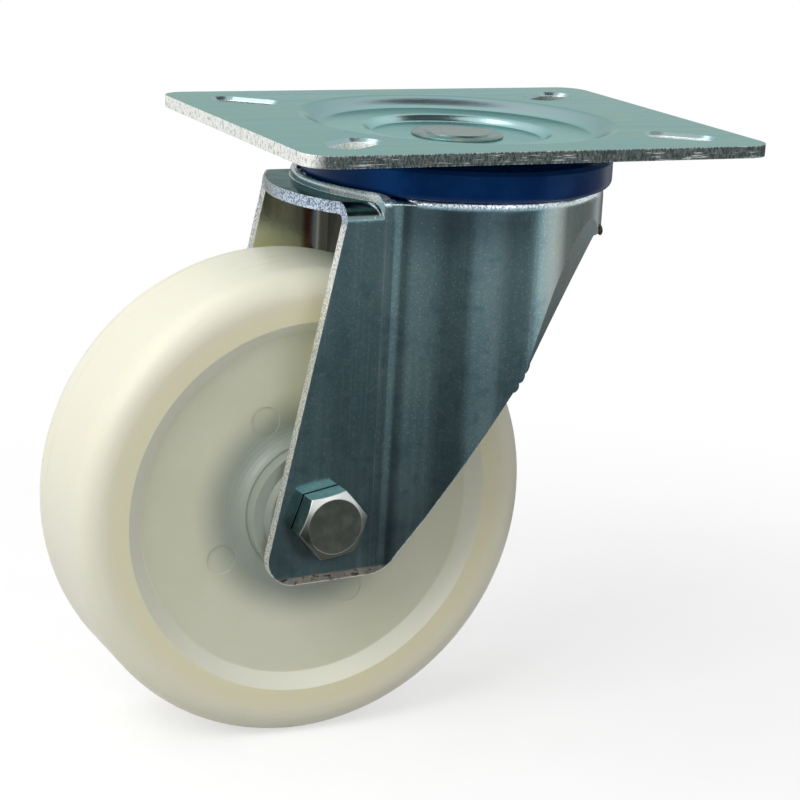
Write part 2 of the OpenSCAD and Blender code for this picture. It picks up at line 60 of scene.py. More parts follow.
# %% [markdown]
# The camera comes first, because every later choice is judged through it. The picture was taken
# from the left and a little above, about 80 cm away, with a long lens, so the plate's edges run
# almost parallel. A camera in Blender looks along its own -Z, so its turn is built from three
# directions: right, up and backwards.

# %% Camera
MM = 0.001
CAMERA_PLACE = Vector((-364.962, -716.256, 115.441)) * MM
turn, dip, roll = (math.radians(angle) for angle in (-25.81, 15.044, 2.987))
view_dir = Vector((-math.sin(turn) * math.cos(dip), math.cos(turn) * math.cos(dip), -math.sin(dip)))
level_right = Vector((math.cos(turn), math.sin(turn), 0))
level_up = level_right.cross(view_dir)
right = math.cos(roll) * level_right + math.sin(roll) * level_up
up = -math.sin(roll) * level_right + math.cos(roll) * level_up

camera_data = bpy.data.cameras.new("studio_camera")
camera_data.sensor_width = 36
camera_data.lens = 108.0
camera_data.shift_x = 0.00826
camera_data.shift_y = 0.00513
camera = bpy.data.objects.new("studio_camera", camera_data)
bpy.context.scene.collection.objects.link(camera)
stance = Matrix((right, up, -view_dir)).transposed().to_4x4()
stance.translation = CAMERA_PLACE
camera.matrix_world = stance
bpy.context.scene.camera = camera
print("camera looks along", [round(c, 3) for c in view_dir])

# %% [markdown]
# A finish is a small graph of nodes. Small helpers keep each finish short enough to read. The
# first ones start a finish, add a node to it, and make its patterns from noise. All patterns use
# Object coordinates, in metres, so a scale of 1000 gives spots of about a millimetre.

# %% Helpers for nodes and patterns
def new_finish(name):
    finish = bpy.data.materials.new(name)
    finish.use_nodes = True
    tree = finish.node_tree
    return finish, tree, tree.nodes["Principled BSDF"]


def add_node(tree, kind, **settings):
    made = tree.nodes.new(kind)
    for key, value in settings.items():
        setattr(made, key, value)
    return made


def feed(tree, value, socket):
    if isinstance(value, bpy.types.NodeSocket):
        tree.links.new(value, socket)
    else:
        socket.default_value = value


def spots(tree, vector, scale, detail=3.0, rough=0.55):
    noise = add_node(tree, "ShaderNodeTexNoise")
    tree.links.new(vector, noise.inputs["Vector"])
    noise.inputs["Scale"].default_value = scale
    noise.inputs["Detail"].default_value = detail
    noise.inputs["Roughness"].default_value = rough
    return noise.outputs["Fac"]


def stretched(tree, vector, scale, shift=(0, 0, 0)):
    mapping = add_node(tree, "ShaderNodeMapping")
    tree.links.new(vector, mapping.inputs["Vector"])
    mapping.inputs["Location"].default_value = shift
    mapping.inputs["Scale"].default_value = scale
    return mapping.outputs["Vector"]


def object_place(tree):
    return add_node(tree, "ShaderNodeTexCoord").outputs["Object"]


# %% [markdown]
# A mask is a number from 0 to 1 at each point of a surface. It says where a colour goes. A soft
# step turns any value into a mask, masks are multiplied to keep only what lies in all of them,
# and a blend paints one colour over another through a mask.

# %% Helpers for masks and blends
def soft_step(tree, value, low, high, bottom=0.0, top=1.0):
    step = add_node(tree, "ShaderNodeMapRange", interpolation_type="SMOOTHSTEP")
    feed(tree, value, step.inputs["Value"])
    step.inputs["From Min"].default_value = low
    step.inputs["From Max"].default_value = high
    step.inputs["To Min"].default_value = bottom
    step.inputs["To Max"].default_value = top
    return step.outputs["Result"]


def sums(tree, operation, a, b=0.0):
    made = add_node(tree, "ShaderNodeMath", operation=operation)
    feed(tree, a, made.inputs[0])
    feed(tree, b, made.inputs[1])
    return made.outputs[0]


def times(tree, mask, *others):
    for other in others:
        mask = sums(tree, "MULTIPLY", mask, other)
    return mask


def inverse(tree, mask):
    return sums(tree, "SUBTRACT", 1.0, mask)


def above(tree, value, limit):
    return sums(tree, "GREATER_THAN", value, limit)


def below(tree, value, limit):
    return sums(tree, "LESS_THAN", value, limit)


def distance_to(tree, value, middle):
    return sums(tree, "ABSOLUTE", sums(tree, "SUBTRACT", value, middle))


def length(tree, vector):
    made = add_node(tree, "ShaderNodeVectorMath", operation="LENGTH")
    tree.links.new(vector, made.inputs[0])
    return made.outputs["Value"]


def blend(tree, factor, a, b):
    mix = add_node(tree, "ShaderNodeMix", data_type="RGBA")
    feed(tree, factor, mix.inputs["Factor"])
    feed(tree, (*a, 1.0) if isinstance(a, tuple) else a, mix.inputs[6])
    feed(tree, (*b, 1.0) if isinstance(b, tuple) else b, mix.inputs[7])
    return mix.outputs[2]


# %% [markdown]
# The last helpers raise fine bumps on a surface and put a finish on the solids. The bump can also
# round the light on sharp edges, with a Bevel node, though the mesh stays as it is.

# %% Helpers for bumps and dressing
EDGE_R = 0.5 * MM


def softened_normal(tree):
    softened = add_node(tree, "ShaderNodeBevel", samples=4)
    softened.inputs["Radius"].default_value = EDGE_R
    return softened.outputs["Normal"]


def bumped(tree, shader, height, strength, depth, soft_edges=False):
    bump = add_node(tree, "ShaderNodeBump")
    if soft_edges:
        tree.links.new(softened_normal(tree), bump.inputs["Normal"])
    bump.inputs["Strength"].default_value = strength
    bump.inputs["Distance"].default_value = depth
    tree.links.new(height, bump.inputs["Height"])
    tree.links.new(bump.outputs["Normal"], shader.inputs["Normal"])


def dress(finish, *names):
    for name in names:
        slots = nodes[name].data.materials
        slots.clear()
        slots.append(finish)
    print(finish.name, "on", ", ".join(names))


print("edges look rounded by", EDGE_R / MM, "mm")

# %% [markdown]
# The steel parts are zinc plated and then passivated, which gives a bluish green-grey sheen.
# Rolled sheet has long faint streaks, the plating has fine grains and the passivation is cloudy.
# Sharp edges get a painted highlight: a Bevel node rounds the normal near an edge, and where that
# differs from the true normal there is an edge. One recipe gathers these layers, and the plate,
# fork and bolt mix them in their own colours.

# %% Layers of zinc plating
# Colour of painted highlights: glints and bright edges on the zinc.
PAINTED_GLINT_ZINC = (0.80, 0.84, 0.82)


def zinc_layers(tree, grain=900.0, streak_scale=(220, 220, 9)):
    coords = add_node(tree, "ShaderNodeTexCoord")
    place = coords.outputs["Object"]
    where = add_node(tree, "ShaderNodeSeparateXYZ")
    tree.links.new(place, where.inputs[0])
    facing = add_node(tree, "ShaderNodeSeparateXYZ")
    tree.links.new(coords.outputs["Normal"], facing.inputs[0])
    straight = add_node(tree, "ShaderNodeVectorMath", operation="DOT_PRODUCT")
    tree.links.new(softened_normal(tree), straight.inputs[0])
    tree.links.new(add_node(tree, "ShaderNodeNewGeometry").outputs["Normal"], straight.inputs[1])
    return {
        "edges": soft_step(tree, straight.outputs["Value"], 0.998, 0.982),
        "place": place,
        "where": where.outputs,
        "facing": facing.outputs,
        "clouds": spots(tree, place, 28.0, 4.0, 0.6),
        "streaks": spots(tree, stretched(tree, place, streak_scale), 1.0, 4.0, 0.6),
        "grains": spots(tree, place, grain, 3.0, 0.6),
    }


# %% [markdown]
# The plating shines along the streaks, and torn metal is duller. At a flat angle real zinc doesn't
# turn fully white, so the shader's Specular Tint holds it back. A few bright specks are cells of a
# Voronoi pattern, of which only some are kept.

# %% Shine and specks of the plating
SPECK_SHARE = 0.28


def specks(tree, place, scale, size):
    cells = add_node(tree, "ShaderNodeTexVoronoi")
    tree.links.new(place, cells.inputs["Vector"])
    cells.inputs["Scale"].default_value = scale
    chosen = add_node(tree, "ShaderNodeSeparateColor")
    tree.links.new(cells.outputs["Color"], chosen.inputs[0])
    return times(tree, soft_step(tree, cells.outputs["Distance"], size, size * 0.5),
                 above(tree, chosen.outputs[0], 1 - SPECK_SHARE))


def zinc_shine(tree, shader, layers, smooth, rough, depth, torn=None, grazing=(0.78, 0.78, 0.78)):
    shine = soft_step(tree, layers["streaks"], 0.3, 0.75, smooth, rough)
    if torn is not None:
        shine = sums(tree, "MAXIMUM", shine, times(tree, torn, 0.6))
    tree.links.new(shine, shader.inputs["Roughness"])
    height = sums(tree, "ADD", layers["grains"], times(tree, layers["streaks"], 0.2))
    bumped(tree, shader, height, 0.3, depth, soft_edges=True)
    shader.inputs["Metallic"].default_value = 1.0
    tint = (*grazing, 1.0) if isinstance(grazing, tuple) else grazing
    feed(tree, tint, shader.inputs["Specular Tint"])


print("share of cells with a speck:", SPECK_SHARE)

# %% [markdown]
# The plate's faces are green-grey with faint streaks along the rolling direction. The steps of the
# recess tilt, and faces that tilt get a bluer painted reflection. The round recess is painted a
# little brighter than the flat, as painted light for the reflections its walls hold back.

# %% Plate faces
RECESS_IN, RECESS_OUT = 44 * MM, 50 * MM
plate_zinc, tree, shader = new_finish("plate_zinc")
zinc = zinc_layers(tree, streak_scale=(12, 160, 160))
where, facing = zinc["where"], zinc["facing"]
tilt = sums(tree, "ABSOLUTE", facing["Z"])
cloudy = soft_step(tree, zinc["clouds"], 0.35, 0.68)
tone = blend(tree, cloudy, (0.25, 0.445, 0.455), (0.295, 0.455, 0.395))
tone = blend(tree, soft_step(tree, zinc["streaks"], 0.4, 0.75, 0.0, 0.06), tone, (0.34, 0.46, 0.42))
tone = blend(tree, soft_step(tree, zinc["grains"], 0.55, 0.8, 0.0, 0.3), tone, (0.14, 0.22, 0.23))
# Painted reflection: faces that tilt are painted bluer.
tone = blend(tree, soft_step(tree, tilt, 0.985, 0.93, 0.0, 0.7), tone, (0.36, 0.46, 0.50))
# Painted light: the round recess is painted brighter than the flat.
from_pin = length(tree, stretched(tree, zinc["place"], (1, 1, 0)))
recess_painted_light = soft_step(tree, from_pin, RECESS_OUT, RECESS_IN, 0.0, 0.8)
tone = blend(tree, recess_painted_light, tone, (0.41, 0.63, 0.64))
print("plate faces use", len(tree.nodes), "nodes")

# %% [markdown]
# The plate was sheared from sheet, so its narrow sides are torn in fine upright lines, dark and
# bright by turns. Thin level lines of painted glints run along them, the sides that face left are
# painted bright as painted light, and sharp edges get a painted highlight. The sides are told from
# the flat faces by the normal: on a side it has almost no upward part. The walls of the slots are
# punched, and they are told from the outer sides by their place. Those at the near side are
# painted bright as a painted reflection, those at the far side darker as painted shade.

# %% Plate sides
PLATE_RIM, SLOT_CHANGE = 4 * MM, 20 * MM
plate_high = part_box("top_plate")[1]
torn = spots(tree, stretched(tree, zinc["place"], (2200, 2200, 800)), 1.0, 3.0, 0.65)
painted_glint_lines = spots(tree, stretched(tree, zinc["place"], (110, 110, 1500)), 1.0, 4.0, 0.65)
sheared_sides_and_painted_light = blend(tree, soft_step(tree, torn, 0.36, 0.68), (0.06, 0.085, 0.085), (0.23, 0.27, 0.26))
# Painted glints in thin level lines.
sheared_sides_and_painted_light = blend(tree, soft_step(tree, painted_glint_lines, 0.58, 0.68), sheared_sides_and_painted_light, PAINTED_GLINT_ZINC)
# Painted light: the sides that face left are painted bright.
left_side_painted_light = blend(tree, soft_step(tree, torn, 0.36, 0.48), (0.38, 0.38, 0.35), (0.88, 0.88, 0.85))
sheared_sides_and_painted_light = blend(tree, soft_step(tree, facing["X"], -0.3, -0.9), sheared_sides_and_painted_light, left_side_painted_light)

in_x = below(tree, sums(tree, "ABSOLUTE", where["X"]), plate_high.x - PLATE_RIM)
in_y = below(tree, sums(tree, "ABSOLUTE", where["Y"]), plate_high.y - PLATE_RIM)
tears = soft_step(tree, torn, 0.36, 0.6)
# Painted reflection on the near slot walls, painted shade on the far ones.
near_slot_wall_painted_light = blend(tree, tears, (0.62, 0.71, 0.67), (1.0, 1.0, 0.97))
far_slot_wall_painted_shade = blend(tree, tears, (0.20, 0.26, 0.25), (0.40, 0.46, 0.45))
slot_walls_light_and_shade = blend(tree, soft_step(tree, where["Y"], -SLOT_CHANGE, SLOT_CHANGE), near_slot_wall_painted_light, far_slot_wall_painted_shade)
sheared_sides_and_painted_light = blend(tree, times(tree, in_x, in_y), sheared_sides_and_painted_light, slot_walls_light_and_shade)

upright = soft_step(tree, tilt, 0.45, 0.3)
tone = blend(tree, upright, tone, sheared_sides_and_painted_light)
# Painted highlight on the plate's edges.
edge_glint = times(tree, zinc["edges"], soft_step(tree, torn, 0.44, 0.6, 0.1, 0.9))
tone = blend(tree, edge_glint, tone, PAINTED_GLINT_ZINC)
tree.links.new(tone, shader.inputs["Base Color"])
zinc_shine(tree, shader, zinc, 0.19, 0.25, 0.06 * MM, upright, (0.47, 0.60, 0.58))
dress(plate_zinc, "top_plate", "lower_race")

# %% [markdown]
# The fork is pressed from one sheet. Its finish is built in five cells, each painting over the
# tone of the one before. First come the smooth faces: dark blue-grey with upright streaks and
# lines, fine dust and a few stains.

# %% Fork faces
fork_zinc, tree, shader = new_finish("fork_zinc")
zinc = zinc_layers(tree, streak_scale=(170, 170, 4))
where, facing = zinc["where"], zinc["facing"]
lines = spots(tree, stretched(tree, zinc["place"], (900, 900, 12)), 1.0, 3.0, 0.6)
dust = spots(tree, zinc["place"], 1500.0, 2.0, 0.6)
stains = spots(tree, zinc["place"], 150.0, 5.0, 0.65)
tone = blend(tree, soft_step(tree, zinc["clouds"], 0.3, 0.7), (0.19, 0.35, 0.40), (0.265, 0.44, 0.47))
tone = blend(tree, soft_step(tree, zinc["streaks"], 0.46, 0.72, 0.0, 0.25), tone, (0.40, 0.53, 0.56))
tone = blend(tree, soft_step(tree, lines, 0.56, 0.75, 0.0, 0.2), tone, (0.66, 0.72, 0.70))
tone = blend(tree, soft_step(tree, zinc["grains"], 0.5, 0.75, 0.0, 0.4), tone, (0.50, 0.60, 0.62))
tone = blend(tree, soft_step(tree, dust, 0.58, 0.72, 0.0, 0.5), tone, (0.62, 0.72, 0.74))
tone = blend(tree, soft_step(tree, stains, 0.5, 0.68, 0.0, 0.45), tone, (0.12, 0.23, 0.30))
print("fork faces use", len(tree.nodes), "nodes")

# %% [markdown]
# Where the drum's wall turns to the front, a paler streaky band is painted as a painted reflection.
# Close under the seal it is painted darker as painted shade. The insides of the legs are painted
# yellow as a painted reflection of the wheel, with darker upright bands of painted shade toward the
# bend. A point is inside when its normal looks back to the middle plane, so that the product of
# normal and place is below zero.

# %% Fork's painted reflection, painted shade and inside
REFLECTION_BAND_LOW, REFLECTION_BAND_HIGH = -85 * MM, -45 * MM
SHADE_LOW, SHADE_HIGH, SHADE_REAR = -42 * MM, -25 * MM, -36 * MM
INSIDE_WHEEL_REFLECTION = (1.0, 0.99, 0.74)
INSIDE_SHADE_BANDS = [
    (-42.5 * MM, -40.0 * MM, (0.42, 0.21, 0.13)),
    (-39.0 * MM, -37.8 * MM, (0.05, 0.045, 0.045)),
    (-36.5 * MM, -35.2 * MM, (0.16, 0.15, 0.12)),
]
# Painted reflection: a paler band where the drum's wall turns to the front.
painted_reflection_band = times(tree, soft_step(tree, facing["X"], 0.05, 0.3),
              soft_step(tree, where["Z"], REFLECTION_BAND_LOW, REFLECTION_BAND_HIGH),
              soft_step(tree, zinc["streaks"], 0.25, 0.6, 0.2, 0.7))
tone = blend(tree, painted_reflection_band, tone, (0.46, 0.49, 0.44))
# Painted shade close under the seal.
painted_shade_under_seal = times(tree, soft_step(tree, where["Z"], SHADE_LOW, SHADE_HIGH),
                   soft_step(tree, facing["X"], 0.25, -0.1), above(tree, where["X"], SHADE_REAR))
tone = blend(tree, times(tree, painted_shade_under_seal, 0.6), tone, (0.07, 0.12, 0.16))

# Painted reflection of the wheel inside the legs, with bands of painted shade toward the bend.
inside_painted_light = INSIDE_WHEEL_REFLECTION
for start, end, band in INSIDE_SHADE_BANDS:
    inside_painted_light = blend(tree, soft_step(tree, where["X"], start, end), inside_painted_light, band)
inside = below(tree, times(tree, facing["Y"], where["Y"]), -10 * MM)
tone = blend(tree, times(tree, inside, 0.9), tone, inside_painted_light)
print("oil in", len(INSIDE_SHADE_BANDS), "bands")

# %% [markdown]
# The bends come next. Round the head the sloping shoulder under the seal gets a rough painted
# highlight. Over the legs the bend is painted dark as painted shade, and the flat crown between
# them is painted dark green as a painted reflection of the plate above it.

# %% Fork's shoulder and crown
LEG_FRONT, CROWN_TOP = -42.5 * MM, -21.4 * MM
rough_spots = spots(tree, zinc["place"], 1600.0, 3.0, 0.6)
sloping = times(tree, soft_step(tree, facing["Z"], 0.10, 0.30), soft_step(tree, facing["Z"], 0.95, 0.75))
on_leg = times(tree, below(tree, where["X"], LEG_FRONT), below(tree, where["Z"], CROWN_TOP))
# Painted shade on the bend over the legs.
bend_painted_shade = times(tree, on_leg, soft_step(tree, facing["Z"], 0.14, 0.26))
tone = blend(tree, times(tree, bend_painted_shade, 0.8), tone, (0.09, 0.115, 0.11))
# Rough painted highlight on the sloping shoulder round the head.
shoulder_painted_highlight = times(tree, sloping, inverse(tree, on_leg), soft_step(tree, rough_spots, 0.38, 0.58, 0.1, 1.0))
tone = blend(tree, shoulder_painted_highlight, tone, (0.78, 0.86, 0.94))
# Painted reflection: the crown's flat, under the plate, is painted dark green.
crown = soft_step(tree, facing["Z"], 0.93, 0.98)
tone = blend(tree, crown, tone, blend(tree, zinc["clouds"], (0.05, 0.11, 0.10), (0.10, 0.16, 0.14)))
print("fork now uses", len(tree.nodes), "nodes")

# %% [markdown]
# On the legs, a thin painted highlight follows the bend beside the drum. The lower ends have a
# soiled, rolled lip that rises a little to the front. Round the lower half of the bolt's head the leg
# is darker in an uneven patch, and toward the bolt the legs are painted darker as painted shade.

# %% Fork's legs
OUTSIDE, BEND_HIGHLIGHT_X = 35.9 * MM, -41.7 * MM
LEG_SLOPE, LIP = 0.0414, 2.2 * MM
DARK_PATCH_OUT, DARK_PATCH_IN, DARK_PATCH_WAVES = 19.5 * MM, 15.5 * MM, 6 * MM
fork_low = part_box("fork")[0]
bolt_low, bolt_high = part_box("axle_bolt")
bolt_mid = (bolt_low + bolt_high) / 2
outside = above(tree, sums(tree, "ABSOLUTE", where["Y"]), OUTSIDE)
# Painted highlight along the bend beside the drum.
bend_highlight = times(tree, soft_step(tree, distance_to(tree, where["X"], BEND_HIGHLIGHT_X), 0.28 * MM, 0.08 * MM),
                  outside, soft_step(tree, zinc["clouds"], 0.35, 0.6, 0.1, 0.4))
tone = blend(tree, bend_highlight, tone, (0.70, 0.76, 0.76))

rise = times(tree, sums(tree, "SUBTRACT", where["X"], fork_low.x), LEG_SLOPE)
over_end = sums(tree, "SUBTRACT", where["Z"], sums(tree, "ADD", rise, fork_low.z))
lip = times(tree, soft_step(tree, over_end, LIP * 1.3, LIP * 0.9), outside)
soiled = spots(tree, stretched(tree, zinc["place"], (420, 420, 700)), 1.0, 4.0, 0.7)
lip_tone = blend(tree, soft_step(tree, soiled, 0.52, 0.62), (0.66, 0.64, 0.54), (0.08, 0.07, 0.055))
tone = blend(tree, lip, tone, lip_tone)

# Darker in an uneven patch round the lower half of the bolt's head.
to_bolt = stretched(tree, zinc["place"], (1, 0, 1), shift=(-bolt_mid.x, 0, -bolt_mid.z))
spread = sums(tree, "ADD", length(tree, to_bolt), times(tree, stains, DARK_PATCH_WAVES))
lower_half = soft_step(tree, where["Z"], bolt_mid.z + 6 * MM, bolt_mid.z - 2 * MM)
dark_patch = times(tree, soft_step(tree, spread, DARK_PATCH_OUT, DARK_PATCH_IN), outside, lower_half)
tone = blend(tree, times(tree, dark_patch, 0.7), tone, (0.06, 0.055, 0.045))
# Painted shade: the legs are darker toward the bolt.
low_leg_painted_shade = soft_step(tree, where["Z"], bolt_mid.z + 20 * MM, bolt_mid.z - 10 * MM, 0.0, 0.4)
tone = blend(tree, times(tree, low_leg_painted_shade, outside, inverse(tree, lip)), tone, (0.10, 0.14, 0.14))
print("bolt's middle at", [round(c / MM, 1) for c in bolt_mid], "mm")

# %% [markdown]
# The cut edges are bright and grainy. A cut edge can be told from a face by the way it points: the
# front edges lean down and the rear edges point back. The near side is lit more than the far side,
# so each gets its own pair of tones. Edges get a painted highlight too. Last, the raised bead behind
# the seal gets a painted highlight, white in its middle and blue-grey toward its ends, over scuffed
# zinc, and there the metal is taken back a little.

# %% Fork's cut edges and bead
EDGE_TOP, REAR_EDGE, CROWN_EDGE = -26.8 * MM, -53.5 * MM, -21.25 * MM
BEAD_LOW, BEAD_FRONT, BEAD_HIGHLIGHT_MIDDLE = -21.05 * MM, -38.5 * MM, -48.5 * MM
leaning = times(tree, below(tree, facing["Z"], -0.3), below(tree, where["Z"], EDGE_TOP))
rear = times(tree, below(tree, facing["X"], -0.75), below(tree, where["X"], REAR_EDGE),
             below(tree, where["Z"], CROWN_EDGE))
cut_edge = sums(tree, "MAXIMUM", leaning, rear)
torn_light = soft_step(tree, rough_spots, 0.38, 0.60)


def torn_tone(near_pair, far_pair, change):
    sides = [blend(tree, torn_light, dark, light) for dark, light in (near_pair, far_pair)]
    return blend(tree, soft_step(tree, where["Y"], -change, change), *sides)


crown_torn = torn_tone(((0.14, 0.19, 0.26), (0.70, 0.80, 0.92)),
                       ((0.16, 0.18, 0.19), (0.52, 0.56, 0.57)), 15 * MM)
leg_torn = torn_tone(((0.50, 0.51, 0.48), (0.95, 0.95, 0.91)),
                     ((0.22, 0.23, 0.23), (0.80, 0.81, 0.80)), 10 * MM)
torn = blend(tree, soft_step(tree, where["Z"], -26 * MM, -30 * MM), crown_torn, leg_torn)
tone = blend(tree, cut_edge, tone, torn)
# Painted highlight on the fork's edges.
edge_glint = times(tree, zinc["edges"], soft_step(tree, rough_spots, 0.4, 0.6, 0.1, 0.8))
tone = blend(tree, edge_glint, tone, PAINTED_GLINT_ZINC)
tone = blend(tree, times(tree, specks(tree, zinc["place"], 620.0, 0.16), 0.45), tone, (0.80, 0.86, 0.86))

# Painted highlight on the bead, brightest at its middle.
bead_highlight_core = soft_step(tree, distance_to(tree, where["X"], BEAD_HIGHLIGHT_MIDDLE), 7 * MM, 3 * MM)
bead = times(tree, above(tree, where["Z"], BEAD_LOW), below(tree, where["X"], BEAD_FRONT),
             soft_step(tree, rough_spots, 0.34, 0.6, 0.35, 0.8), soft_step(tree, bead_highlight_core, 0.0, 1.0, 0.5, 1.2))
tone = blend(tree, bead, tone, blend(tree, bead_highlight_core, (0.62, 0.72, 0.80), (1.0, 1.0, 1.0)))
tree.links.new(tone, shader.inputs["Base Color"])
sheen = blend(tree, crown, (0.78, 0.78, 0.78), (0.40, 0.48, 0.48))
zinc_shine(tree, shader, zinc, 0.12, 0.24, 0.04 * MM, cut_edge, sheen)
tree.links.new(inverse(tree, bead), shader.inputs["Metallic"])
dress(fork_zinc, "fork")

# %% [markdown]
# The kingpin's head was peened with a press, so it is rougher than the plate round it. The balls,
# rollers and sleeve are ground steel with no plating, so they are brighter and smoother.

# %% Kingpin and bearing steel
pin_zinc, tree, shader = new_finish("pin_zinc")
zinc = zinc_layers(tree, grain=600.0, streak_scale=(150, 150, 150))
tone = blend(tree, soft_step(tree, zinc["streaks"], 0.35, 0.7), (0.14, 0.25, 0.24), (0.29, 0.33, 0.30))
tree.links.new(tone, shader.inputs["Base Color"])
zinc_shine(tree, shader, zinc, 0.26, 0.42, 0.1 * MM)
dress(pin_zinc, "kingpin")

bearing_steel, tree, shader = new_finish("bearing_steel")
zinc = zinc_layers(tree, grain=1500.0, streak_scale=(300, 300, 300))
tone = blend(tree, soft_step(tree, zinc["clouds"], 0.3, 0.7), (0.42, 0.43, 0.44), (0.56, 0.57, 0.58))
tree.links.new(tone, shader.inputs["Base Color"])
zinc_shine(tree, shader, zinc, 0.10, 0.2, 0.03 * MM)
dress(bearing_steel, "upper_balls", "lower_balls", "rollers", "axle_sleeve")

# %% [markdown]
# The bolt, nut and washer are plated in a barrel. The chamfers of the hexagons get a painted
# highlight where they look up and painted shade where they look down, and their edges a painted
# highlight that is strongest where they look up. The end faces are darker.
# Flats, chamfers and end faces are told apart by how far the normal turns to the axle's direction,
# which is Y.

# %% Bolt, nut and washer
bolt_zinc, tree, shader = new_finish("bolt_zinc")
zinc = zinc_layers(tree, grain=1100.0, streak_scale=(260, 260, 260))
along_axle = sums(tree, "ABSOLUTE", zinc["facing"]["Y"])
streaky = soft_step(tree, zinc["streaks"], 0.35, 0.7)
tone = blend(tree, streaky, (0.22, 0.34, 0.33), (0.34, 0.44, 0.42))
chamfer = times(tree, soft_step(tree, along_axle, 0.6, 0.8), soft_step(tree, along_axle, 0.97, 0.9))
# Painted light and shade: chamfers that look up are painted bright, those that look down dark.
lit_from_above = soft_step(tree, zinc["facing"]["Z"], -0.22, 0.30)
tone = blend(tree, chamfer, tone, blend(tree, lit_from_above, (0.06, 0.063, 0.052), (0.64, 0.68, 0.65)))
end_tone = blend(tree, streaky, (0.20, 0.225, 0.19), (0.245, 0.27, 0.23))
tone = blend(tree, soft_step(tree, along_axle, 0.97, 0.99), tone, end_tone)
# Painted highlight on edges, stronger where they look up.
edge_glint = times(tree, zinc["edges"], soft_step(tree, lit_from_above, 0.0, 1.0, 0.12, 0.7))
tone = blend(tree, edge_glint, tone, (0.84, 0.88, 0.88))
tree.links.new(tone, shader.inputs["Base Color"])
zinc_shine(tree, shader, zinc, 0.28, 0.36, 0.05 * MM)
dress(bolt_zinc, "axle_bolt", "lock_nut", "nut_washer")

# %% [markdown]
# The wheel is moulded in one piece from natural nylon. Light goes a little way into it, which the
# shader's subsurface setting gives. The patterns are centred on the axle, so that the rim can be
# yellower, the step inside it painted paler as painted light, the thick hub painted grey as painted
# shade, and the tread can have thin scuffs that run round it.

# %% Nylon wheel
HUB_IN, HUB_OUT = 26 * MM, 42 * MM
DISC_END, STEP_START = 57.8 * MM, 58.8 * MM
STEP_END, RIM_START = 63.2 * MM, 63.8 * MM
TAN_IN, TAN_OUT = 65 * MM, 75 * MM
SCUFF_IN, SCUFF_OUT = 70 * MM, 78 * MM
wheel_low, wheel_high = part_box("wheel")
axle = (wheel_low + wheel_high) / 2
nylon, tree, shader = new_finish("nylon")
place = object_place(tree)
from_axle = stretched(tree, place, (1, 1, 1), shift=tuple(-axle))
radius = length(tree, stretched(tree, from_axle, (1, 0, 1)))
clouds = spots(tree, place, 22.0, 4.0, 0.55)
grains = spots(tree, place, 420.0, 3.0, 0.6)
scuffs = spots(tree, stretched(tree, from_axle, (9, 620, 9)), 1.0, 3.0, 0.65)
disc = blend(tree, soft_step(tree, clouds, 0.3, 0.7), (0.78, 0.79, 0.605), (0.84, 0.845, 0.685))
tread = blend(tree, clouds, (0.95, 0.91, 0.70), (0.96, 0.94, 0.80))
tread = blend(tree, soft_step(tree, radius, TAN_OUT, TAN_IN, 0.0, 0.6), tread, (1.0, 0.90, 0.58))
# Painted light: the step inside the rim is painted paler.
outer = blend(tree, soft_step(tree, radius, STEP_END, RIM_START), (0.96, 0.96, 0.80), tread)
tone = blend(tree, soft_step(tree, radius, DISC_END, STEP_START), disc, outer)
# Painted shade: the hub is painted grey.
tone = blend(tree, soft_step(tree, radius, HUB_OUT, HUB_IN, 0.0, 0.9), tone, (0.29, 0.34, 0.30))
worn = times(tree, soft_step(tree, radius, SCUFF_IN, SCUFF_OUT), soft_step(tree, scuffs, 0.62, 0.74, 0.0, 0.35))
tone = blend(tree, worn, tone, (0.52, 0.47, 0.36))
tree.links.new(tone, shader.inputs["Base Color"])
tree.links.new(soft_step(tree, grains, 0.3, 0.7, 0.34, 0.46), shader.inputs["Roughness"])
shader.inputs["Subsurface Weight"].default_value = 0.35
shader.inputs["Subsurface Radius"].default_value = (1.0, 0.85, 0.6)
shader.inputs["Subsurface Scale"].default_value = 4 * MM
bumped(tree, shader, sums(tree, "ADD", grains, scuffs), 0.2, 0.15 * MM)
dress(nylon, "wheel")
print("axle at", [round(c / MM, 2) for c in axle], "mm")

# %% [markdown]
# The small plastic parts are moulded too: a deep blue dust seal, the blue ring in the lock nut,
# pale bearing covers, here painted dark grey as painted shade, and a black roller cage. One recipe
# with two tones makes them all.

# %% Other plastics
def moulded(name, dark, light, smooth, rough, gloss, sheen=(1, 1, 1)):
    finish, tree, shader = new_finish(name)
    place = object_place(tree)
    cloudy = spots(tree, place, 60.0, 3.0, 0.5)
    grains = spots(tree, place, 1200.0, 2.0, 0.5)
    tree.links.new(blend(tree, soft_step(tree, cloudy, 0.3, 0.7), dark, light), shader.inputs["Base Color"])
    tree.links.new(soft_step(tree, cloudy, 0.3, 0.7, smooth, rough), shader.inputs["Roughness"])
    bumped(tree, shader, grains, 0.15, 0.1 * MM)
    shader.inputs["Specular IOR Level"].default_value = gloss
    shader.inputs["Specular Tint"].default_value = (*sheen, 1.0)
    return finish


seal_blue = moulded("seal_blue", (0.003, 0.030, 0.135), (0.007, 0.050, 0.20), 0.22, 0.32, 0.2, (0.1, 0.4, 0.9))
# Painted shade: the pale covers are painted dark grey.
cover_white = moulded("cover_white", (0.27, 0.31, 0.26), (0.32, 0.36, 0.31), 0.35, 0.5, 0.4)
cage_black = moulded("cage_black", (0.012, 0.012, 0.013), (0.022, 0.022, 0.024), 0.4, 0.55, 0.4)
dress(seal_blue, "dust_seal", "lock_nut_insert")
dress(cover_white, "near_bearing_cover", "far_bearing_cover")
dress(cage_black, "roller_cage")

